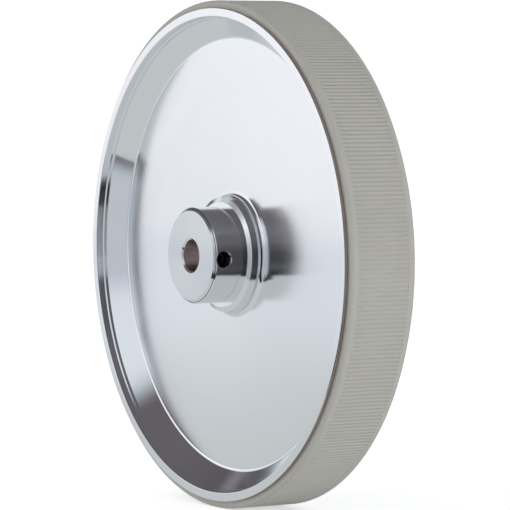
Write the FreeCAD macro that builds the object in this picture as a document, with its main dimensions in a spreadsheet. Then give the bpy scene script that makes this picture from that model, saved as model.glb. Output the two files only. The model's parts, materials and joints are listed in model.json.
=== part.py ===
import FreeCAD, Part
import math
import os
import Sketcher

# Encoder measuring wheel. Millimetres. The wheel's axis is +Y, its hub side faces -Y, +Z is up.
# The origin is on the axis, midway between the two faces of the rim.

SIZES = [
    # name, value in mm (angles in degrees)
    ("rim_width", 25.0),
    ("rim_radius", 77.25),
    ("edge_break", 0.3),
    ("lip_radius", 74.5),
    ("land_outer_radius", 74.3),
    ("land_outer_depth", 2.15),
    ("land_inner_radius", 73.9),
    ("land_step_depth", 2.5),
    ("cone_mouth_radius", 73.8),
    ("cone_mouth_depth", 3.35),
    ("cone_foot_radius", 68.1),
    ("recess_depth", 8.25),
    ("cone_foot_fillet", 1.5),
    ("boss_radius", 18.0),
    ("boss_height", 4.9),
    ("boss_bevel_width", 1.5),
    ("boss_bevel_height", 0.75),
    ("boss_taper_height", 1.95),
    ("boss_foot_radius", 18.5),
    ("boss_fillet", 1.8),
    ("spigot_radius", 11.0),
    ("hub_radius", 15.0),
    ("hub_proud", 7.5),
    ("hub_chamfer", 1.0),
    ("bore_radius", 5.0),
    ("bore_chamfer", 0.5),
    ("tread_radius", 79.577),
    ("tread_width", 22.5),
    ("tread_corner", 1.2),
    ("tread_margin", 2.2),
    ("rib_count", 360.0),
    ("rib_height", 0.3),
    ("rib_drop", 0.03),
    ("rib_tool_wall", 1.0),
    ("screw_depth", 3.35),
    ("screw_tilt", 2.5),
    ("screw_hole_diameter", 5.1),
    ("screw_hole_mouth", 5.6),
    ("screw_radius", 2.5),
    ("screw_length", 6.0),
    ("screw_tip_radius", 1.4),
    ("screw_end_chamfer", 0.5),
    ("screw_gap", 0.3),
    ("socket_flats", 2.5),
    ("socket_depth", 2.5),
]


def make_sheet(document):
    """The spreadsheet that holds every driving dimension."""
    sheet = document.addObject("Spreadsheet::Sheet", "sizes")
    for row, (alias, value) in enumerate(SIZES, start=1):
        sheet.set("A%d" % row, alias)
        sheet.set("B%d" % row, str(value))
        sheet.setAlias("B%d" % row, alias)
    document.recompute()
    return sheet


def new_body(document, label):
    body = document.addObject("PartDesign::Body", label + "_body")
    body.Label = label
    return body


def origin_plane(body, role):
    """One of the body's own origin planes, such as XY_Plane."""
    for feature in body.Origin.OriginFeatures:
        if feature.Role == role:
            return feature
    raise RuntimeError("no origin plane " + role)


def new_sketch(body, name, role, height=None):
    """A sketch on one of the body's origin planes, raised along its normal by an expression."""
    sketch = body.newObject("Sketcher::SketchObject", name)
    sketch.AttachmentSupport = (origin_plane(body, role), [""])
    sketch.MapMode = "FlatFace"
    if height is not None:
        sketch.setExpression(".AttachmentOffset.Base.z", height)
    return sketch


def hold_point(sketch, line, point, name, across, up):
    """Ties one end of a line to the origin by two expressions; "0" puts it on that axis."""
    for kind, text, axis in (("DistanceX", across, -2), ("DistanceY", up, -1)):
        if text == "0":
            sketch.addConstraint(Sketcher.Constraint("PointOnObject", line, point, axis))
        else:
            index = sketch.addConstraint(Sketcher.Constraint(kind, -1, 1, line, point, 10.0))
            sketch.renameConstraint(index, name + kind[-1])
            sketch.setExpression("Constraints." + name + kind[-1], text)


def closed_outline(sketch, corners):
    """A closed outline of straight lines; each corner is a pair of expressions."""
    count = len(corners)
    start = []
    for i in range(count):
        angle = 2 * math.pi * i / count
        start.append(FreeCAD.Vector(40 + 20 * math.cos(angle), 40 + 20 * math.sin(angle), 0))
    for i in range(count):
        sketch.addGeometry(Part.LineSegment(start[i], start[(i + 1) % count]), False)
    for i in range(count):
        sketch.addConstraint(Sketcher.Constraint("Coincident", i, 2, (i + 1) % count, 1))
    for i, (across, up) in enumerate(corners):
        hold_point(sketch, i, 1, "corner%d" % i, across, up)


def revolve(body, name, sketch, axis):
    feature = body.newObject("PartDesign::Revolution", name)
    feature.Profile = sketch
    feature.ReferenceAxis = (sketch, [axis])
    feature.Angle = 360.0
    return feature


def edges_round_axis(shape, radius, depth):
    """Names of the circular edges about the local Y axis with this radius at this depth."""
    names = []
    for number, edge in enumerate(shape.Edges, start=1):
        curve = edge.Curve
        if not isinstance(curve, Part.Circle):
            continue
        if abs(curve.Radius - radius) < 1e-4 and abs(curve.Center.y - depth) < 1e-4:
            names.append("Edge%d" % number)
    if not names:
        raise RuntimeError("no edge of radius %.3f at depth %.3f" % (radius, depth))
    return names


def fillet(body, name, base, edges, size):
    feature = body.newObject("PartDesign::Fillet", name)
    feature.Base = (base, edges)
    feature.setExpression("Radius", size)
    return feature


def make_wheel_disc(document, sheet):
    """Rim, cone, web and boss: one turned piece. Depths run back from the rim's front face."""
    body = new_body(document, "wheel_disc")
    sketch = new_sketch(body, "disc_profile", "XY_Plane")
    recess = [
        ("sizes.cone_foot_radius", "sizes.recess_depth"),
        ("sizes.cone_mouth_radius", "sizes.cone_mouth_depth"),
        ("sizes.land_inner_radius", "sizes.land_step_depth"),
        ("sizes.land_outer_radius", "sizes.land_outer_depth"),
        ("sizes.lip_radius", "sizes.edge_break"),
        ("sizes.lip_radius + sizes.edge_break", "0"),
        ("sizes.rim_radius - sizes.edge_break", "0"),
        ("sizes.rim_radius", "sizes.edge_break"),
    ]
    back = [(across, "sizes.rim_width - (%s)" % up) for across, up in reversed(recess)]
    boss_face = "sizes.recess_depth - sizes.boss_height"
    boss = [
        ("sizes.spigot_radius", "sizes.rim_width - sizes.recess_depth"),
        ("sizes.spigot_radius", boss_face),
        ("sizes.boss_radius - sizes.boss_bevel_width", boss_face),
        ("sizes.boss_radius", boss_face + " + sizes.boss_bevel_height"),
        ("sizes.boss_radius", "sizes.recess_depth - sizes.boss_taper_height"),
        ("sizes.boss_foot_radius", "sizes.recess_depth"),
    ]
    closed_outline(sketch, boss + recess + back)
    turned = revolve(body, "disc_turned", sketch, "V_Axis")
    document.recompute()
    front = sheet.recess_depth
    rear = sheet.rim_width - sheet.recess_depth
    feet = edges_round_axis(turned.Shape, sheet.cone_foot_radius, front)
    feet += edges_round_axis(turned.Shape, sheet.cone_foot_radius, rear)
    cones = fillet(body, "cone_feet", turned, feet, "sizes.cone_foot_fillet")
    document.recompute()
    foot = edges_round_axis(cones.Shape, sheet.boss_foot_radius, front)
    fillet(body, "boss_foot", cones, foot, "sizes.boss_fillet")
    body.setExpression(".Placement.Base.y", "-sizes.rim_width / 2")
    return body


def make_hub_sleeve(document):
    """Hub with a spigot that is pressed into the disc. Depths run back from the hub's front face."""
    body = new_body(document, "hub_sleeve")
    sketch = new_sketch(body, "hub_profile", "XY_Plane")
    shoulder = "sizes.hub_proud + sizes.recess_depth - sizes.boss_height"
    length = "sizes.hub_proud + sizes.rim_width - sizes.recess_depth"
    corners = [
        ("sizes.bore_radius", "sizes.bore_chamfer"),
        ("sizes.bore_radius + sizes.bore_chamfer", "0"),
        ("sizes.hub_radius - sizes.hub_chamfer", "0"),
        ("sizes.hub_radius", "sizes.hub_chamfer"),
        ("sizes.hub_radius", shoulder),
        ("sizes.spigot_radius", shoulder),
        ("sizes.spigot_radius", length + " - sizes.edge_break"),
        ("sizes.spigot_radius - sizes.edge_break", length),
        ("sizes.bore_radius + sizes.bore_chamfer", length),
        ("sizes.bore_radius", length + " - sizes.bore_chamfer"),
    ]
    closed_outline(sketch, corners)
    turned = revolve(body, "hub_turned", sketch, "V_Axis")
    document.recompute()
    solid_volume = turned.Shape.Volume

    mark = new_sketch(body, "screw_hole_mark", "YZ_Plane", "sizes.hub_radius")
    mark.addGeometry(Part.Circle(FreeCAD.Vector(5, 0, 0), FreeCAD.Vector(0, 0, 1), 2), False)
    mark.addConstraint(Sketcher.Constraint("PointOnObject", 0, 3, -1))
    reach = mark.addConstraint(Sketcher.Constraint("DistanceX", -1, 1, 0, 3, 5.0))
    mark.renameConstraint(reach, "reach")
    mark.setExpression("Constraints.reach", "sizes.screw_depth")
    size = mark.addConstraint(Sketcher.Constraint("Diameter", 0, 4.0))
    mark.renameConstraint(size, "size")
    mark.setExpression("Constraints.size", "sizes.screw_hole_diameter")
    document.recompute()

    hole = body.newObject("PartDesign::Hole", "screw_hole")
    hole.Profile = mark
    document.recompute()
    hole.ThreadType = "None"
    hole.setExpression("Diameter", "sizes.screw_hole_diameter")
    hole.DepthType = "Dimension"
    hole.setExpression("Depth", "sizes.hub_radius - sizes.bore_radius / 2")
    hole.DrillPoint = "Flat"
    hole.HoleCutType = "Countersink"
    hole.setExpression("HoleCutDiameter", "sizes.screw_hole_mouth")
    hole.HoleCutCountersinkAngle = 90.0
    document.recompute()
    if hole.Shape.Volume > solid_volume - 100.0:
        raise RuntimeError("the screw hole cuts nothing")
    turn = FreeCAD.Rotation(FreeCAD.Vector(0, 1, 0), 1.0)
    body.Placement = FreeCAD.Placement(FreeCAD.Vector(0, 0, 0), turn)
    body.setExpression(".Placement.Rotation.Angle", "sizes.screw_tilt * 1 deg")
    body.setExpression(".Placement.Base.y", "-sizes.rim_width / 2 - sizes.hub_proud")
    return body


def make_tread_blank(document, sheet):
    """The plain tread ring with rounded corners, before the ribs are cut."""
    body = new_body(document, "tread_blank")
    sketch = new_sketch(body, "tread_profile", "XY_Plane")
    corners = [
        ("sizes.rim_radius", "0"),
        ("sizes.tread_radius", "0"),
        ("sizes.tread_radius", "sizes.tread_width"),
        ("sizes.rim_radius", "sizes.tread_width"),
    ]
    closed_outline(sketch, corners)
    turned = revolve(body, "tread_turned", sketch, "V_Axis")
    document.recompute()
    rims = edges_round_axis(turned.Shape, sheet.tread_radius, 0.0)
    rims += edges_round_axis(turned.Shape, sheet.tread_radius, sheet.tread_width)
    fillet(body, "tread_corners", turned, rims, "sizes.tread_corner")
    return body


def rib_outline(sheet):
    """Closed wavy wire round the Y axis: one crest arc and one valley arc per rib."""
    top = sheet.tread_radius - sheet.rib_drop
    middle = top - sheet.rib_height / 2
    bottom = top - sheet.rib_height
    count = int(round(sheet.rib_count))
    quarter = math.pi / (2 * count)

    def at(radius, step):
        angle = step * quarter
        return FreeCAD.Vector(radius * math.sin(angle), sheet.tread_margin, radius * math.cos(angle))

    edges = []
    for rib in range(count):
        step = 4 * rib
        edges.append(Part.Arc(at(middle, step - 1), at(top, step), at(middle, step + 1)).toShape())
        edges.append(Part.Arc(at(middle, step + 1), at(bottom, step + 2), at(middle, step + 3)).toShape())
    return Part.Wire(edges)


def make_tread_band(document, sheet):
    """The tread: the blank less a ring whose bore carries the rib outline."""
    blank = make_tread_blank(document, sheet)
    outer = sheet.tread_radius + sheet.rib_tool_wall
    centre = FreeCAD.Vector(0, sheet.tread_margin, 0)
    rim = Part.Wire(Part.makeCircle(outer, centre, FreeCAD.Vector(0, 1, 0)))
    ring = Part.makeFace([rim, rib_outline(sheet)], "Part::FaceMakerBullseye")
    cutter = document.addObject("Part::Feature", "rib_cutter")
    cutter.Shape = ring.extrude(FreeCAD.Vector(0, sheet.tread_width - 2 * sheet.tread_margin, 0))
    cut = document.addObject("Part::Cut", "tread_band_cut")
    cut.Base = blank
    cut.Tool = cutter
    cut.Label = "tread_band"
    cut.setExpression(".Placement.Base.y", "-sizes.tread_width / 2")
    document.recompute()
    if cut.Shape.Volume > blank.Shape.Volume - 100.0:
        raise RuntimeError("the ribs cut nothing")
    return cut


def make_grub_screw(document):
    """Socket set screw along its local +X, with its tip at the local origin."""
    body = new_body(document, "grub_screw")
    sketch = new_sketch(body, "screw_profile", "XY_Plane")
    corners = [
        ("0", "0"),
        ("sizes.screw_length", "0"),
        ("sizes.screw_length", "sizes.screw_radius - sizes.screw_end_chamfer"),
        ("sizes.screw_length - sizes.screw_end_chamfer", "sizes.screw_radius"),
        ("sizes.screw_radius - sizes.screw_tip_radius", "sizes.screw_radius"),
        ("0", "sizes.screw_tip_radius"),
    ]
    closed_outline(sketch, corners)
    turned = revolve(body, "screw_turned", sketch, "H_Axis")
    document.recompute()
    solid_volume = turned.Shape.Volume

    socket = new_sketch(body, "socket_outline", "YZ_Plane", "sizes.screw_length")
    half = "sizes.socket_flats / 2"
    near = "sizes.socket_flats / (2 * sqrt(3))"
    far = "sizes.socket_flats / sqrt(3)"
    hexagon = [
        ("0", far),
        ("-" + half, near),
        ("-" + half, "-" + near),
        ("0", "-" + far),
        (half, "-" + near),
        (half, near),
    ]
    closed_outline(socket, hexagon)
    pocket = body.newObject("PartDesign::Pocket", "socket_pocket")
    pocket.Profile = socket
    pocket.setExpression("Length", "sizes.socket_depth")
    document.recompute()
    if pocket.Shape.Volume > solid_volume - 5.0:
        raise RuntimeError("the socket cuts nothing")
    turn = FreeCAD.Rotation(FreeCAD.Vector(0, 1, 0), 1.0)
    body.Placement = FreeCAD.Placement(FreeCAD.Vector(0, 0, 0), turn)
    body.setExpression(".Placement.Rotation.Angle", "sizes.screw_tilt * 1 deg")
    rest = "(sizes.bore_radius + sizes.screw_gap)"
    body.setExpression(".Placement.Base.x", rest + " * cos(sizes.screw_tilt * 1 deg)")
    body.setExpression(".Placement.Base.y", "sizes.screw_depth - sizes.rim_width / 2 - sizes.hub_proud")
    body.setExpression(".Placement.Base.z", "-" + rest + " * sin(sizes.screw_tilt * 1 deg)")
    return body


def check_document(document, parts):
    """Stops if any object has failed or any sub-part has no sound solid."""
    for item in document.Objects:
        if "Invalid" in item.State or "Error" in item.State:
            raise RuntimeError("%s has failed: %s" % (item.Name, item.State))
    for part in parts:
        if part.Shape.isNull() or not part.Shape.isValid() or not part.Shape.Solids:
            raise RuntimeError("%s has no sound solid" % part.Label)


def main():
    document = FreeCAD.newDocument("measuring_wheel")
    sheet = make_sheet(document)
    parts = [
        make_wheel_disc(document, sheet),
        make_hub_sleeve(document),
        make_tread_band(document, sheet),
        make_grub_screw(document),
    ]
    document.recompute()
    check_document(document, parts)
    os.makedirs("parts", exist_ok=True)
    for part in parts:
        part.Shape.exportStep("parts/%s.step" % part.Label)
        box = part.Shape.BoundBox
        print(
            "%-12s %9.1f mm3  x %.2f..%.2f  y %.2f..%.2f  z %.2f..%.2f"
            % (part.Label, part.Shape.Volume, box.XMin, box.XMax, box.YMin, box.YMax, box.ZMin, box.ZMax)
        )


main()
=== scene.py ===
import json
import math

import bpy
import numpy as np
from mathutils import Matrix, Vector


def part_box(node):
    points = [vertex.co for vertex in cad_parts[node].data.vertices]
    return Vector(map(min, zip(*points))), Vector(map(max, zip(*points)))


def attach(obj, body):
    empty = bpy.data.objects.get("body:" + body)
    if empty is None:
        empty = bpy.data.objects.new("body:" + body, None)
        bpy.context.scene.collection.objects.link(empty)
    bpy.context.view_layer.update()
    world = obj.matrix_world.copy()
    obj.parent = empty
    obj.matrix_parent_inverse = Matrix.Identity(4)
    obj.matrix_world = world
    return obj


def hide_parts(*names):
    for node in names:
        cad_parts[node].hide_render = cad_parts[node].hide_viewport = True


# Looks of the encoder measuring wheel. Metres. The wheel's axis is +Y and its hub side faces -Y.

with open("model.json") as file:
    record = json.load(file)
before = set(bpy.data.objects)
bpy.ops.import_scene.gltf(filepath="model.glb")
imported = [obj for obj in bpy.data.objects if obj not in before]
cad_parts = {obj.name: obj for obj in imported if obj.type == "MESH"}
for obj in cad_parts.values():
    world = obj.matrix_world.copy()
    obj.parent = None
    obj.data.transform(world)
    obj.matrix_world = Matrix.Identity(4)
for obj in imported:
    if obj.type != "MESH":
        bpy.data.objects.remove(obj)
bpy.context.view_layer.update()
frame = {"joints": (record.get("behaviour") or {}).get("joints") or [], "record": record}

MM = 0.001

# ---------------------------------------------------------------- sizes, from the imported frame

RIM_LOW, RIM_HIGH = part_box("wheel_disc")
HUB_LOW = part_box("hub_sleeve")[0]
TREAD_LOW, TREAD_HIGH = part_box("tread_band")
SCREW_AXIS = Vector(frame["joints"][0]["axis"]).normalized()
BORE = next(m for m in frame["record"]["mounts"] if m["name"] == "shaft_bore")

RIM_RADIUS = RIM_HIGH.z
RIM_FRONT = RIM_LOW.y
RIM_BACK = RIM_HIGH.y
HUB_FRONT = HUB_LOW.y
TREAD_RADIUS = TREAD_HIGH.z
TREAD_FRONT = TREAD_LOW.y
TREAD_BACK = TREAD_HIGH.y
BORE_RADIUS = BORE["dims"]["r_mm"] * MM

# Sizes inside those boxes, the same as the CAD model's. Depths run in from the rim's face.
LIP_RADIUS = 74.5 * MM
LAND_OUTER_RADIUS = 74.3 * MM
LAND_OUTER_DEPTH = 2.15 * MM
LAND_INNER_RADIUS = 73.9 * MM
LAND_STEP_DEPTH = 2.5 * MM
CONE_MOUTH_RADIUS = 73.8 * MM
CONE_MOUTH_DEPTH = 3.35 * MM
CONE_FOOT_RADIUS = 68.1 * MM
RECESS_DEPTH = 8.25 * MM
BOSS_RADIUS = 18.0 * MM
BOSS_HEIGHT = 4.9 * MM
BOSS_BEVEL_WIDTH = 1.5 * MM
BOSS_BEVEL_HEIGHT = 0.75 * MM
BOSS_TAPER_HEIGHT = 1.95 * MM
BOSS_FOOT_RADIUS = 18.5 * MM
BOSS_FILLET = 1.8 * MM
SPIGOT_RADIUS = 11.0 * MM
HUB_RADIUS = 15.0 * MM
HUB_CHAMFER = 1.0 * MM
BORE_CHAMFER = 0.5 * MM
EDGE_BREAK = 0.3 * MM
FINE_ROUND = 0.12 * MM
CONE_FOOT_FILLET = 1.5 * MM
BOSS_WAIST_ROUND = 0.5 * MM
TREAD_CORNER = 1.2 * MM
TREAD_MARGIN = 2.2 * MM
RIB_COUNT = 360
RIB_HEIGHT = 0.3 * MM
RIB_DROP = 0.03 * MM
SCREW_DEPTH = 3.35 * MM
SCREW_RADIUS = 2.5 * MM
SCREW_LENGTH = 6.0 * MM
SCREW_REST = 5.3 * MM
SCREW_HOLE_RADIUS = 2.55 * MM
THREAD_PITCH = 0.8 * MM
SOCKET_FLATS = 2.5 * MM
SOCKET_DEPTH = 2.5 * MM


# ---------------------------------------------------------------- meshes

def rounded_runs(corners, arc_steps):
    """Runs of (point, outward normal) round a closed profile of (radius, y, rounding) corners.

    The profile goes round with its material on the left.
    """
    count = len(corners)
    points = [Vector((across, depth)) for across, depth, _ in corners]
    trims = []
    for i, (_, _, rounding) in enumerate(corners):
        before = (points[i - 1] - points[i]).normalized()
        after = (points[(i + 1) % count] - points[i]).normalized()
        trims.append(rounding / math.tan(before.angle(after) / 2) if rounding > 0 else 0.0)
    runs = []
    for i in range(count):
        following = (i + 1) % count
        along = (points[following] - points[i]).normalized()
        normal = Vector((along.y, -along.x))
        end = points[following] - along * trims[following]
        runs.append([(points[i] + along * trims[i], normal), (end, normal)])
        rounding = corners[following][2]
        if rounding > 0:
            leaving = (points[(i + 2) % count] - points[following]).normalized()
            next_normal = Vector((leaving.y, -leaving.x))
            swing = rounding if along.x * leaving.y - along.y * leaving.x > 0 else -rounding
            centre = end - normal * swing
            arc = []
            for step in range(arc_steps + 1):
                direction = normal.slerp(next_normal, step / arc_steps)
                arc.append((centre + direction * swing, direction))
            runs.append(arc)
    return runs


def mesh_object(name, verts, faces, normals=None):
    """An object from arrays; normals, where given, has one row for each face corner."""
    mesh = bpy.data.meshes.new(name)
    mesh.from_pydata(verts.tolist(), [], faces.tolist())
    mesh.shade_smooth()
    if normals is not None:
        mesh.normals_split_custom_set(normals.tolist())
    piece = bpy.data.objects.new(name, mesh)
    bpy.context.scene.collection.objects.link(piece)
    return piece


def lathe(name, corners, segments=720, arc_steps=6):
    """A closed mesh turned about the Y axis, with exact shading normals."""
    turn = np.arange(segments) * (2 * math.pi / segments)
    cosine, sine = np.cos(turn), np.sin(turn)
    here = np.arange(segments)
    after = (here + 1) % segments
    rings = []
    steps = []
    for run in rounded_runs(corners, arc_steps):
        for k in range(len(run) - 1):
            steps.append((len(rings), run[k][1], run[k + 1][1]))
            rings.append(run[k][0])
    verts = np.concatenate(
        [np.stack([ring.x * cosine, np.full(segments, ring.y), ring.x * sine], axis=1) for ring in rings]
    )
    faces = []
    normals = []
    for ring, first, second in steps:
        low = ring * segments
        high = ((ring + 1) % len(rings)) * segments
        faces.append(np.stack([low + here, high + here, high + after, low + after], axis=1))
        sides = [
            np.stack([lean.x * cosine[spin], np.full(segments, lean.y), lean.x * sine[spin]], axis=1)
            for lean, spin in ((first, here), (second, here), (second, after), (first, after))
        ]
        normals.append(np.stack(sides, axis=1).reshape(-1, 3))
    return mesh_object(name, verts, np.concatenate(faces), np.concatenate(normals))


def tube_grid(name, stations, columns):
    """A closed solid about the X axis from rows of (x, radius function of the angle)."""
    turn = np.arange(columns) * (2 * math.pi / columns)
    rows = []
    for reach, radius in stations:
        size = radius(turn, reach)
        along = np.full(columns, reach)
        rows.append(np.stack([along, size * np.cos(turn), size * np.sin(turn)], axis=1))
    here = np.arange(columns)
    after = (here + 1) % columns
    faces = []
    for k in range(len(rows) - 1):
        low = k * columns
        high = low + columns
        faces.append(np.stack([low + here, low + after, high + after, high + here], axis=1))
    verts = np.concatenate(rows)
    quads = np.concatenate(faces).tolist()
    last = (len(rows) - 1) * columns
    quads.append(list(range(columns))[::-1])
    quads.append([last + k for k in range(columns)])
    mesh = bpy.data.meshes.new(name)
    mesh.from_pydata(verts.tolist(), [], quads)
    piece = bpy.data.objects.new(name, mesh)
    bpy.context.scene.collection.objects.link(piece)
    return piece


def thread_wave(turn, reach):
    """0 at a thread's root and 1 at its crest, for a helix of the screw's pitch.

    The crest takes about a fifth of the pitch, and the root about two fifths.
    """
    flank_slope = 4.8
    phase = (reach / THREAD_PITCH - turn / (2 * math.pi)) % 1.0
    return np.clip(1.5 - flank_slope * np.abs(phase - 0.5), 0.0, 1.0)


# ---------------------------------------------------------------- pieces

def recess_corners(face, inward):
    """The rim's inside from the cone's foot to its outer edge; inward is +1 in front and -1 behind."""
    return [
        (CONE_FOOT_RADIUS, face + inward * RECESS_DEPTH, CONE_FOOT_FILLET),
        (CONE_MOUTH_RADIUS, face + inward * CONE_MOUTH_DEPTH, 0.15 * MM),
        (LAND_INNER_RADIUS, face + inward * LAND_STEP_DEPTH, 0.1 * MM),
        (LAND_OUTER_RADIUS, face + inward * LAND_OUTER_DEPTH, 0.1 * MM),
        (LIP_RADIUS, face, EDGE_BREAK),
        (RIM_RADIUS, face, EDGE_BREAK),
    ]


def make_disc():
    """Rim, cone, web and boss, turned in one piece."""
    web_front = RIM_FRONT + RECESS_DEPTH
    web_back = RIM_BACK - RECESS_DEPTH
    boss_face = web_front - BOSS_HEIGHT
    boss = [
        (SPIGOT_RADIUS, web_back, 0.2 * MM),
        (SPIGOT_RADIUS, boss_face, 0),
        (BOSS_RADIUS - BOSS_BEVEL_WIDTH, boss_face, FINE_ROUND),
        (BOSS_RADIUS, boss_face + BOSS_BEVEL_HEIGHT, FINE_ROUND),
        (BOSS_RADIUS, web_front - BOSS_TAPER_HEIGHT, BOSS_WAIST_ROUND),
        (BOSS_FOOT_RADIUS, web_front, BOSS_FILLET),
    ]
    return lathe("turned_disc", boss + recess_corners(RIM_FRONT, 1) + recess_corners(RIM_BACK, -1)[::-1])


def screw_hole_cutter():
    """The shape that the screw's tapped hole takes out of the hub, along the screw's axis."""
    mouth_start = HUB_RADIUS - 0.25 * MM
    beyond = HUB_RADIUS + 1.0 * MM
    inside = BORE_RADIUS / 2
    groove = 0.12 * MM

    def tapped(turn, reach):
        fade = min(1.0, max(0.0, (mouth_start - reach) / (0.3 * MM)))
        return SCREW_HOLE_RADIUS + groove * fade * thread_wave(turn, reach)

    def mouth(turn, reach):
        return np.full(len(turn), SCREW_HOLE_RADIUS + reach - mouth_start)

    rows = 130
    stations = [(inside + (mouth_start - inside) * k / rows, tapped) for k in range(rows)]
    stations += [(mouth_start, mouth), (beyond, mouth)]
    return tube_grid("screw_hole_cutter", stations, 72)


def along_screw(piece, centre_depth):
    """Turns a mesh made along X onto the screw's axis."""
    lean = SCREW_AXIS.to_track_quat("X", "Z").to_matrix().to_4x4()
    piece.data.transform(Matrix.Translation((0, centre_depth, 0)) @ lean)


def revolved_normals(piece):
    """Exact normals on every face that lies on a surface of revolution about Y."""
    mesh = piece.data
    normals = []
    for polygon in mesh.polygons:
        centre = polygon.center
        radial = Vector((centre.x, 0, centre.z)).normalized()
        flat = polygon.normal
        outward = flat.dot(radial)
        sideways = abs(flat.dot(Vector((-radial.z, 0, radial.x))))
        for corner in polygon.vertices:
            spot = mesh.vertices[corner].co
            away = Vector((spot.x, 0, spot.z)).normalized()
            turned = (away * outward + Vector((0, flat.y, 0))).normalized()
            normals.append(turned if sideways < 0.01 else flat)
    mesh.normals_split_custom_set([tuple(n) for n in normals])


def make_hub():
    """Hub and spigot, turned in one piece, then cross-drilled and tapped for the screw."""
    length_end = RIM_BACK - RECESS_DEPTH
    shoulder = RIM_FRONT + RECESS_DEPTH - BOSS_HEIGHT
    corners = [
        (BORE_RADIUS, HUB_FRONT + BORE_CHAMFER, 0),
        (BORE_RADIUS + BORE_CHAMFER, HUB_FRONT, 0.08 * MM),
        (HUB_RADIUS - HUB_CHAMFER, HUB_FRONT, FINE_ROUND),
        (HUB_RADIUS, HUB_FRONT + HUB_CHAMFER, FINE_ROUND),
        (HUB_RADIUS, shoulder, 0),
        (SPIGOT_RADIUS, shoulder, 0),
        (SPIGOT_RADIUS, length_end, EDGE_BREAK),
        (BORE_RADIUS + BORE_CHAMFER, length_end, 0.08 * MM),
        (BORE_RADIUS, length_end - BORE_CHAMFER, 0),
    ]
    hub = lathe("hub_turned", corners, segments=360, arc_steps=4)
    cutter = screw_hole_cutter()
    along_screw(cutter, HUB_FRONT + SCREW_DEPTH)
    cut = hub.modifiers.new("screw_hole", "BOOLEAN")
    cut.operation = "DIFFERENCE"
    cut.solver = "EXACT"
    cut.object = cutter
    bpy.context.view_layer.update()
    shaped = bpy.data.meshes.new_from_object(hub.evaluated_get(bpy.context.evaluated_depsgraph_get()))
    hub.modifiers.clear()
    hub.data = shaped
    bpy.data.objects.remove(cutter)
    revolved_normals(hub)
    return hub


def make_screw():
    """Socket set screw with a rolled thread, a flat point and a hexagon socket."""
    columns = 72
    core = SCREW_RADIUS - 0.42 * MM
    crest = SCREW_RADIUS - 0.04 * MM
    end_chamfer = 0.5 * MM
    point_radius = 1.4 * MM

    def threaded(turn, reach):
        size = core + (crest - core) * thread_wave(turn, reach)
        from_outer_end = crest - end_chamfer + (SCREW_LENGTH - reach)
        from_point = point_radius + reach
        return np.minimum(size, min(from_outer_end, from_point))

    def hexagon(grow):
        def size(turn, reach):
            sector = (turn % (math.pi / 3)) - math.pi / 6
            return (SOCKET_FLATS / 2 + grow) / np.cos(sector)
        return size

    def round_at(radius):
        return lambda turn, reach: np.full(len(turn), radius)

    rows = 96
    stations = [(0.0, round_at(point_radius - 0.05 * MM))]
    stations += [(SCREW_LENGTH * k / rows, threaded) for k in range(1, rows)]
    stations += [
        (SCREW_LENGTH, round_at(crest - end_chamfer)),
        (SCREW_LENGTH, hexagon(0.12 * MM)),
        (SCREW_LENGTH - 0.12 * MM, hexagon(0.0)),
        (SCREW_LENGTH - SOCKET_DEPTH, hexagon(0.0)),
        (SCREW_LENGTH - SOCKET_DEPTH - 0.5 * MM, round_at(0.1 * MM)),
    ]
    screw = tube_grid("set_screw_m5", stations, columns)
    along_screw(screw, HUB_FRONT + SCREW_DEPTH)
    screw.data.transform(Matrix.Translation(SCREW_AXIS * SCREW_REST))
    screw.data.shade_smooth()
    screw.data.set_sharp_from_angle(angle=math.radians(32))
    return screw


def make_tread():
    """The tread ring: rounded corners, smooth margins, and ribs that fade in beside the margins."""
    columns = RIB_COUNT * 8
    turn = np.arange(columns) * (2 * math.pi / columns)
    wave = 0.5 - 0.5 * np.cos(turn * RIB_COUNT)
    corners = [
        (RIM_RADIUS, TREAD_FRONT, 0),
        (TREAD_RADIUS, TREAD_FRONT, TREAD_CORNER),
        (TREAD_RADIUS, TREAD_BACK, TREAD_CORNER),
        (RIM_RADIUS, TREAD_BACK, 0),
    ]
    fade = 0.35 * MM
    rows = []
    for run in rounded_runs(corners, 6):
        ends = (run[0][0], run[-1][0])
        across_tread = len(run) == 2 and min(end.x for end in ends) > TREAD_RADIUS - 1e-6
        for point, _ in run[:-1]:
            rows.append((point.x, point.y, 0.0))
        if across_tread:
            first, last = TREAD_FRONT + TREAD_MARGIN, TREAD_BACK - TREAD_MARGIN
            for part in (0.0, 0.35, 0.7, 1.0):
                rows.append((TREAD_RADIUS, first + part * fade, part))
            for part in (1.0, 0.7, 0.35, 0.0):
                rows.append((TREAD_RADIUS, last - part * fade, part))
    here = np.arange(columns)
    after = (here + 1) % columns
    verts = []
    faces = []
    for k, (radius, depth, share) in enumerate(rows):
        size = radius - share * (RIB_DROP + RIB_HEIGHT * wave)
        depths = np.full(columns, depth)
        verts.append(np.stack([size * np.cos(turn), depths, size * np.sin(turn)], axis=1))
        low = k * columns
        high = ((k + 1) % len(rows)) * columns
        faces.append(np.stack([low + here, high + here, high + after, low + after], axis=1))
    tread = mesh_object("ribbed_tread", np.concatenate(verts), np.concatenate(faces))
    tread.data.set_sharp_from_angle(angle=math.radians(50))
    return tread


# ---------------------------------------------------------------- materials

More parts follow.
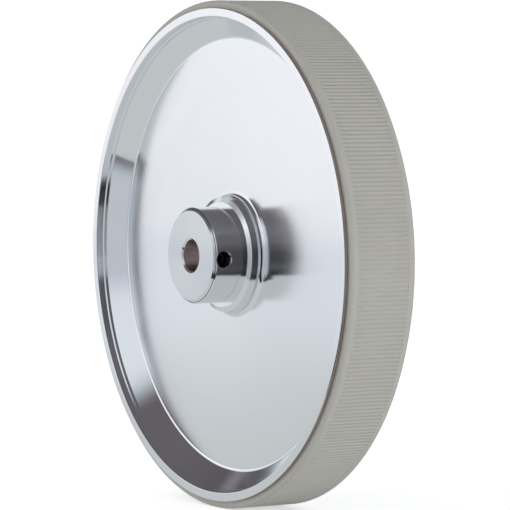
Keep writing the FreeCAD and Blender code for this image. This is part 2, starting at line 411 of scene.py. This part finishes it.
class Nodes:
    """Short names for building one node tree."""

    def __init__(self, tree):
        self.tree = tree
        tree.nodes.clear()

    def add(self, kind, **settings):
        node = self.tree.nodes.new(kind)
        for key, value in settings.items():
            setattr(node, key, value)
        return node

    def join(self, source, target):
        self.tree.links.new(source, target)

    def math(self, operation, first, second=None, third=None):
        node = self.add("ShaderNodeMath", operation=operation)
        for socket, value in zip(node.inputs, (first, second, third)):
            if value is None:
                continue
            if isinstance(value, (int, float)):
                socket.default_value = value
            else:
                self.join(value, socket)
        return node.outputs[0]

    def ramp(self, value, low, high, new_low, new_high):
        node = self.add("ShaderNodeMapRange", interpolation_type="SMOOTHSTEP")
        self.join(value, node.inputs["Value"])
        names = ("From Min", "From Max", "To Min", "To Max")
        for name, number in zip(names, (low, high, new_low, new_high)):
            if isinstance(number, (int, float)):
                node.inputs[name].default_value = number
            else:
                self.join(number, node.inputs[name])
        return node.outputs["Result"]


def shaded_material(name):
    """A new material with one principled shader."""
    material = bpy.data.materials.new(name)
    material.use_nodes = True
    nodes = Nodes(material.node_tree)
    output = nodes.add("ShaderNodeOutputMaterial")
    shader = nodes.add("ShaderNodeBsdfPrincipled")
    nodes.join(shader.outputs[0], output.inputs["Surface"])
    return material, nodes, shader


def turned_coordinates(nodes):
    """Object coordinates as (radius, depth, angle) about the wheel's axis."""
    place = nodes.add("ShaderNodeTexCoord").outputs["Object"]
    split = nodes.add("ShaderNodeSeparateXYZ")
    nodes.join(place, split.inputs[0])
    x, depth, z = split.outputs
    squares = nodes.math("ADD", nodes.math("MULTIPLY", x, x), nodes.math("MULTIPLY", z, z))
    radius = nodes.math("SQRT", squares)
    angle = nodes.math("ARCTAN2", z, x)
    return radius, depth, angle


def combine(nodes, *values):
    node = nodes.add("ShaderNodeCombineXYZ")
    for socket, value in zip(node.inputs, values):
        nodes.join(value, socket)
    return node.outputs[0]


def noise(nodes, vector, scale, detail=2.0, roughness=0.5):
    node = nodes.add("ShaderNodeTexNoise")
    node.inputs["Scale"].default_value = scale
    node.inputs["Detail"].default_value = detail
    node.inputs["Roughness"].default_value = roughness
    nodes.join(vector, node.inputs["Vector"])
    return node.outputs["Fac"]


def zone(nodes, value, low, high, blur):
    """1 where value is between low and high, else 0."""
    rise = nodes.ramp(value, low - blur, low + blur, 0.0, 1.0)
    fall = nodes.ramp(value, high - blur, high + blur, 1.0, 0.0)
    return nodes.math("MULTIPLY", rise, fall)


def blend(nodes, share, first, second):
    """A colour between first and second, each a colour or the output of a node."""
    node = nodes.add("ShaderNodeMix", data_type="RGBA")
    for name, value in (("A", first), ("B", second)):
        if isinstance(value, tuple):
            node.inputs[name].default_value = (*value, 1.0)
        else:
            nodes.join(value, node.inputs[name])
    nodes.join(share, node.inputs["Factor"])
    return node.outputs["Result"]


def aluminium(name, colour, groove):
    """A metal with a lathe tool's fine concentric marks, groove metres high.

    The marks stretch what the metal mirrors.
    """
    material, nodes, shader = shaded_material(name)
    shader.inputs["Metallic"].default_value = 1.0
    shader.inputs["Anisotropic"].default_value = 0.95
    shader.inputs["Anisotropic Rotation"].default_value = 0.25
    tangent = nodes.add("ShaderNodeTangent", direction_type="RADIAL", axis="Y")
    nodes.join(tangent.outputs[0], shader.inputs["Tangent"])
    radius, depth, angle = turned_coordinates(nodes)
    slow_angle = nodes.math("MULTIPLY", angle, 0.002)
    marks = noise(nodes, combine(nodes, radius, depth, slow_angle), 1 / (0.35 * MM), 3.0, 0.6)
    bump = nodes.add("ShaderNodeBump")
    bump.inputs["Strength"].default_value = 1.0
    bump.inputs["Distance"].default_value = groove
    nodes.join(marks, bump.inputs["Height"])
    nodes.join(bump.outputs[0], shader.inputs["Normal"])
    patches = combine(nodes, radius, depth, nodes.math("MULTIPLY", angle, 0.02))
    cloud = noise(nodes, patches, 1 / (9 * MM), 3.0)
    tint = blend(nodes, marks, tuple(c * 0.965 for c in colour), colour)
    return material, nodes, shader, (radius, depth, cloud, tint)


def disc_aluminium():
    """The disc: its web is face-turned and a little duller than the polished cone, land and boss.

    Its outer rim is coloured darker and browner in a thin band beside the bonded tread.
    """
    material, nodes, shader, (radius, _, cloud, tint) = aluminium(
        "turned_aluminium", (0.90, 0.915, 0.94), 0.0003 * MM
    )
    web = zone(nodes, radius, BOSS_FOOT_RADIUS + BOSS_FILLET, CONE_FOOT_RADIUS - 1.2 * MM, 0.6 * MM)
    polish = nodes.ramp(cloud, 0.3, 0.7, 0.09, 0.11)
    nodes.join(nodes.math("ADD", polish, nodes.math("MULTIPLY", web, 0.045)), shader.inputs["Roughness"])
    # A thin band at the rim's outer edge is coloured darker and browner.
    outer_rim_band = nodes.ramp(radius, RIM_RADIUS - 0.1 * MM, RIM_RADIUS - 0.05 * MM, 0.0, 1.0)
    nodes.join(blend(nodes, outer_rim_band, tint, (0.58, 0.50, 0.45)), shader.inputs["Base Color"])
    return material


def hub_aluminium():
    """The hub: turned outside, with a greyer end face, a reamed bore coloured darker and browner, and
    painted shade in the screw's tapped hole, coloured near black.
    """
    material, nodes, shader, (radius, depth, cloud, tint) = aluminium(
        "hub_aluminium", (0.88, 0.89, 0.91), 0.0005 * MM
    )
    middle = HUB_FRONT + SCREW_DEPTH
    across_threads = zone(nodes, radius, BORE_RADIUS + 0.2 * MM, HUB_RADIUS - 0.3 * MM, 0.05 * MM)
    tapped_hole_shade = nodes.math(
        "MULTIPLY", across_threads, zone(nodes, depth, middle - 2.8 * MM, middle + 2.8 * MM, 0.05 * MM)
    )
    bore = nodes.ramp(radius, BORE_RADIUS + 0.05 * MM, BORE_RADIUS + 0.1 * MM, 1.0, 0.0)
    dull = nodes.math("MAXIMUM", tapped_hole_shade, bore)
    polish = nodes.ramp(cloud, 0.3, 0.7, 0.12, 0.14)
    nodes.join(nodes.math("ADD", polish, nodes.math("MULTIPLY", dull, 0.2)), shader.inputs["Roughness"])
    end_face = nodes.ramp(depth, HUB_FRONT + 0.04 * MM, HUB_FRONT + 0.08 * MM, 1.0, 0.0)
    faced = blend(nodes, end_face, tint, (0.71, 0.73, 0.75))
    reamed = blend(nodes, bore, faced, (0.80, 0.70, 0.69))
    # Painted shade: the screw's tapped hole is coloured near black, for the shade deep inside it.
    nodes.join(blend(nodes, tapped_hole_shade, reamed, (0.10, 0.10, 0.10)), shader.inputs["Base Color"])
    return material


def tread_polymer():
    """Matte moulded polyurethane: slight cloudiness, fine grain, and a painted highlight on the rib
    crests with painted shade in the valleys between them.
    """
    material, nodes, shader = shaded_material("tread_polymer")
    shader.inputs["Specular IOR Level"].default_value = 0.35
    place = nodes.add("ShaderNodeTexCoord").outputs["Object"]
    radius, _, _ = turned_coordinates(nodes)
    cloud = noise(nodes, place, 1 / (14 * MM), 4.0)
    # Painted highlight and shade: the colour is paler on the rib crests and darker in the valleys
    # between them.
    crest = nodes.ramp(radius, TREAD_RADIUS - RIB_DROP - RIB_HEIGHT, TREAD_RADIUS - RIB_DROP, 0.0, 1.0)
    tone_and_crest_light = nodes.math("ADD", nodes.math("MULTIPLY", cloud, 0.5), nodes.math("MULTIPLY", crest, 0.25))
    tint = blend(nodes, tone_and_crest_light, (0.374, 0.367, 0.341), (0.449, 0.444, 0.417))
    nodes.join(tint, shader.inputs["Base Color"])
    nodes.join(nodes.ramp(cloud, 0.3, 0.7, 0.5, 0.62), shader.inputs["Roughness"])
    grain = noise(nodes, place, 1 / (0.25 * MM), 3.0, 0.6)
    bump = nodes.add("ShaderNodeBump")
    bump.inputs["Strength"].default_value = 1.0
    bump.inputs["Distance"].default_value = 0.012 * MM
    nodes.join(grain, bump.inputs["Height"])
    nodes.join(bump.outputs[0], shader.inputs["Normal"])
    return material


def black_steel():
    """Black-oxide steel with fine paler specks."""
    material, nodes, shader = shaded_material("black_steel")
    shader.inputs["Metallic"].default_value = 0.6
    place = nodes.add("ShaderNodeTexCoord").outputs["Object"]
    speck = noise(nodes, place, 1 / (0.5 * MM), 4.0, 0.65)
    tint = blend(nodes, speck, (0.012, 0.012, 0.014), (0.045, 0.044, 0.046))
    nodes.join(tint, shader.inputs["Base Color"])
    nodes.join(nodes.ramp(speck, 0.3, 0.7, 0.32, 0.5), shader.inputs["Roughness"])
    return material


# ---------------------------------------------------------------- studio

def toward(azimuth, elevation):
    """Unit vector from the object; azimuth 0 is -Y and 90 is +X, in degrees."""
    a, e = math.radians(azimuth), math.radians(elevation)
    return Vector((math.sin(a) * math.cos(e), -math.cos(a) * math.cos(e), math.sin(e)))


VIEW_AZIMUTH = 58.69
VIEW_ELEVATION = 3.25
VIEW_DISTANCE = 1.1022
VIEW_AIM = Vector((1.6, 2.6, -0.4)) * MM
VIEW_LENS = 247.0


def make_camera():
    """A long lens, a little above the wheel and well round to the set screw's side."""
    data = bpy.data.cameras.new("camera")
    data.lens = VIEW_LENS
    data.sensor_width = 36.0
    camera = bpy.data.objects.new("camera", data)
    bpy.context.scene.collection.objects.link(camera)
    back = toward(VIEW_AZIMUTH, VIEW_ELEVATION)
    camera.location = VIEW_AIM + back * VIEW_DISTANCE
    camera.rotation_mode = "QUATERNION"
    camera.rotation_quaternion = (-back).to_track_quat("-Z", "Y")
    data.clip_start = 0.01
    data.clip_end = 100.0
    bpy.context.scene.camera = camera


def make_floor():
    """A round pale sweep: flat under the wheel, curving up into a high wall all round."""
    ground = TREAD_LOW.z - 0.02 * MM
    flat_radius = 2.0
    curve_radius = 1.2
    wall_top = 4.0
    curve_steps = 12
    columns = 96
    profile = [(0.0001, ground), (flat_radius, ground)]
    for step in range(1, curve_steps + 1):
        part = step / curve_steps * math.pi / 2
        across = flat_radius + curve_radius * math.sin(part)
        profile.append((across, ground + curve_radius * (1 - math.cos(part))))
    profile.append((flat_radius + curve_radius, wall_top))
    turn = np.arange(columns) * (2 * math.pi / columns)
    here = np.arange(columns)
    after = (here + 1) % columns
    verts = []
    faces = []
    for k, (reach, height) in enumerate(profile):
        heights = np.full(columns, height)
        verts.append(np.stack([reach * np.cos(turn), reach * np.sin(turn), heights], axis=1))
        if k > 0:
            low = (k - 1) * columns
            high = k * columns
            faces.append(np.stack([low + here, low + after, high + after, high + here], axis=1))
    floor = mesh_object("studio_sweep", np.concatenate(verts), np.concatenate(faces))
    floor.data.materials.append(sweep_paint())
    floor.visible_glossy = False


def sweep_paint():
    """White, and a little brighter to the camera than to the wheel."""
    material, nodes, shader = shaded_material("sweep_paint")
    shader.inputs["Base Color"].default_value = (0.9, 0.9, 0.9, 1.0)
    shader.inputs["Emission Color"].default_value = (1.0, 1.0, 1.0, 1.0)
    rays = nodes.add("ShaderNodeLightPath")
    brightness = nodes.ramp(rays.outputs["Is Camera Ray"], 0.0, 1.0, 0.18, 0.5)
    nodes.join(brightness, shader.inputs["Emission Strength"])
    shader.inputs["Roughness"].default_value = 0.9
    shader.inputs["Specular IOR Level"].default_value = 0.0
    return material


def make_mirrored_table():
    """The white sheet the wheel stands on, as the bright metal mirrors it.

    It ends just in front of the wheel and is brighter far from it.
    """
    front = 96.0 * MM
    reach = 1.6
    across = 1.6
    low = TREAD_LOW.z - 1.0 * MM
    ahead = toward(54.0, 0.0)
    side = Vector((-ahead.y, ahead.x, 0))
    spots = [ahead * front + side * across, ahead * front - side * across]
    spots += [-ahead * reach - side * across, -ahead * reach + side * across]
    verts = np.array([(p.x, p.y, low) for p in spots])
    sheet = mesh_object("mirrored_table", verts, np.array([(0, 1, 2, 3)]))
    sheet.data.materials.append(sheet_glow())
    sheet.visible_camera = False
    sheet.visible_diffuse = False
    sheet.visible_shadow = False
    sheet.visible_transmission = False


def sheet_glow():
    """A glow that grows with the distance from the wheel."""
    material = bpy.data.materials.new("sheet_glow")
    material.use_nodes = True
    nodes = Nodes(material.node_tree)
    output = nodes.add("ShaderNodeOutputMaterial")
    light = nodes.add("ShaderNodeEmission")
    place = nodes.add("ShaderNodeTexCoord").outputs["Object"]
    reach = nodes.add("ShaderNodeVectorMath", operation="LENGTH")
    nodes.join(place, reach.inputs[0])
    far = nodes.ramp(reach.outputs["Value"], 0.1, 1.0, 0.0, 1.0)
    nodes.join(nodes.ramp(far, 0.0, 1.0, 0.60, 0.80), light.inputs["Strength"])
    nodes.join(blend(nodes, far, (0.955, 1.0, 1.0), (0.95, 1.0, 1.06)), light.inputs["Color"])
    nodes.join(light.outputs[0], output.inputs["Surface"])
    return material


# What the bright metal mirrors: soft panels of the studio, painted in this order over a dark room.
# azimuth, elevation, half width, half height, blur, brightness
PANELS = [
    (-172, 15, 60, 50, 14, 0.60),
    (128, 0, 16, 40, 10, 0.06),
    (99, 12, 9, 40, 6, 0.95),
    (30, 0, 15, 28, 8, 0.36),
    (-54, -20, 46, 30, 8, 0.65),
    (14, -3, 12, 24, 8, 0.60),
    (-3, 0, 12, 24, 8, 0.42),
    (-56, -6, 24, 31, 12, 0.88),
    (-36, 11, 26, 15, 12, 1.02),
    (10, 25, 17, 15, 12, 0.82),
]
DARK_LOW = 0.022
DARK_HIGH = 0.14


def make_world():
    """Plain light for matte surfaces, and the panels for whatever is mirrored."""
    world = bpy.data.worlds.new("studio")
    bpy.context.scene.world = world
    world.use_nodes = True
    nodes = Nodes(world.node_tree)
    output = nodes.add("ShaderNodeOutputWorld")
    place = nodes.add("ShaderNodeTexCoord").outputs["Generated"]
    split = nodes.add("ShaderNodeSeparateXYZ")
    nodes.join(place, split.inputs[0])
    x, y, z = split.outputs
    azimuth = nodes.math("DEGREES", nodes.math("ARCTAN2", x, nodes.math("MULTIPLY", y, -1.0)))
    elevation = nodes.math("DEGREES", nodes.math("ARCSINE", z))
    level = nodes.ramp(elevation, 0.0, 50.0, DARK_LOW, DARK_HIGH)
    for centre, height, half_width, half_height, blur, brightness in PANELS:
        offset = nodes.math("WRAP", nodes.math("SUBTRACT", azimuth, float(centre)), 180.0, -180.0)
        aside = nodes.math("ABSOLUTE", offset)
        across = nodes.ramp(aside, half_width - blur / 2, half_width + blur / 2, 1.0, 0.0)
        rise = nodes.math("ABSOLUTE", nodes.math("SUBTRACT", elevation, float(height)))
        up = nodes.ramp(rise, half_height - blur / 2, half_height + blur / 2, 1.0, 0.0)
        share = nodes.math("MULTIPLY", across, up)
        change = nodes.math("MULTIPLY", share, nodes.math("SUBTRACT", brightness, level))
        level = nodes.math("ADD", level, change)
    rays = nodes.add("ShaderNodeLightPath")
    mirrored = nodes.add("ShaderNodeBackground")
    nodes.join(level, mirrored.inputs["Strength"])
    cool = blend(nodes, nodes.ramp(level, 0.1, 0.4, 0.0, 1.0), (1.0, 0.90, 0.99), (0.93, 0.985, 1.06))
    colour = blend(nodes, nodes.ramp(level, 0.7, 1.0, 0.0, 1.0), cool, (0.985, 0.995, 1.01))
    nodes.join(colour, mirrored.inputs["Color"])
    plain = nodes.add("ShaderNodeBackground")
    plain.inputs["Color"].default_value = (1.0, 1.0, 1.0, 1.0)
    nodes.join(nodes.ramp(elevation, 0.0, 60.0, 0.42, 0.34), plain.inputs["Strength"])
    chooser = nodes.add("ShaderNodeMixShader")
    nodes.join(rays.outputs["Is Glossy Ray"], chooser.inputs[0])
    nodes.join(plain.outputs[0], chooser.inputs[1])
    nodes.join(mirrored.outputs[0], chooser.inputs[2])
    nodes.join(chooser.outputs[0], output.inputs["Surface"])


def make_lights():
    """Two square softboxes, which the metal doesn't mirror. Power is in watts."""
    for name, azimuth, elevation, distance, size, power in (
        ("side_softbox", 95, -2, 1.5, 0.9, 13.5),
        ("front_softbox", -30, 20, 1.8, 1.2, 8.0),
    ):
        data = bpy.data.lights.new(name, "AREA")
        data.shape = "SQUARE"
        data.size = size
        data.energy = power
        lamp = bpy.data.objects.new(name, data)
        bpy.context.scene.collection.objects.link(lamp)
        way = toward(azimuth, elevation)
        lamp.location = way * distance
        lamp.rotation_mode = "QUATERNION"
        lamp.rotation_quaternion = (-way).to_track_quat("-Z", "Y")
        lamp.visible_glossy = False


# ---------------------------------------------------------------- assembly

def dress(piece, body, node, material):
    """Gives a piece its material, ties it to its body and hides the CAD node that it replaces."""
    piece.data.materials.clear()
    piece.data.materials.append(material)
    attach(piece, body)
    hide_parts(node)


dress(make_disc(), "wheel", "wheel_disc", disc_aluminium())
dress(make_hub(), "wheel", "hub_sleeve", hub_aluminium())
dress(make_tread(), "wheel", "tread_band", tread_polymer())
dress(make_screw(), "set_screw", "grub_screw", black_steel())

make_camera()
make_floor()
make_mirrored_table()
make_world()
make_lights()
bpy.context.scene.view_settings.view_transform = "Standard"
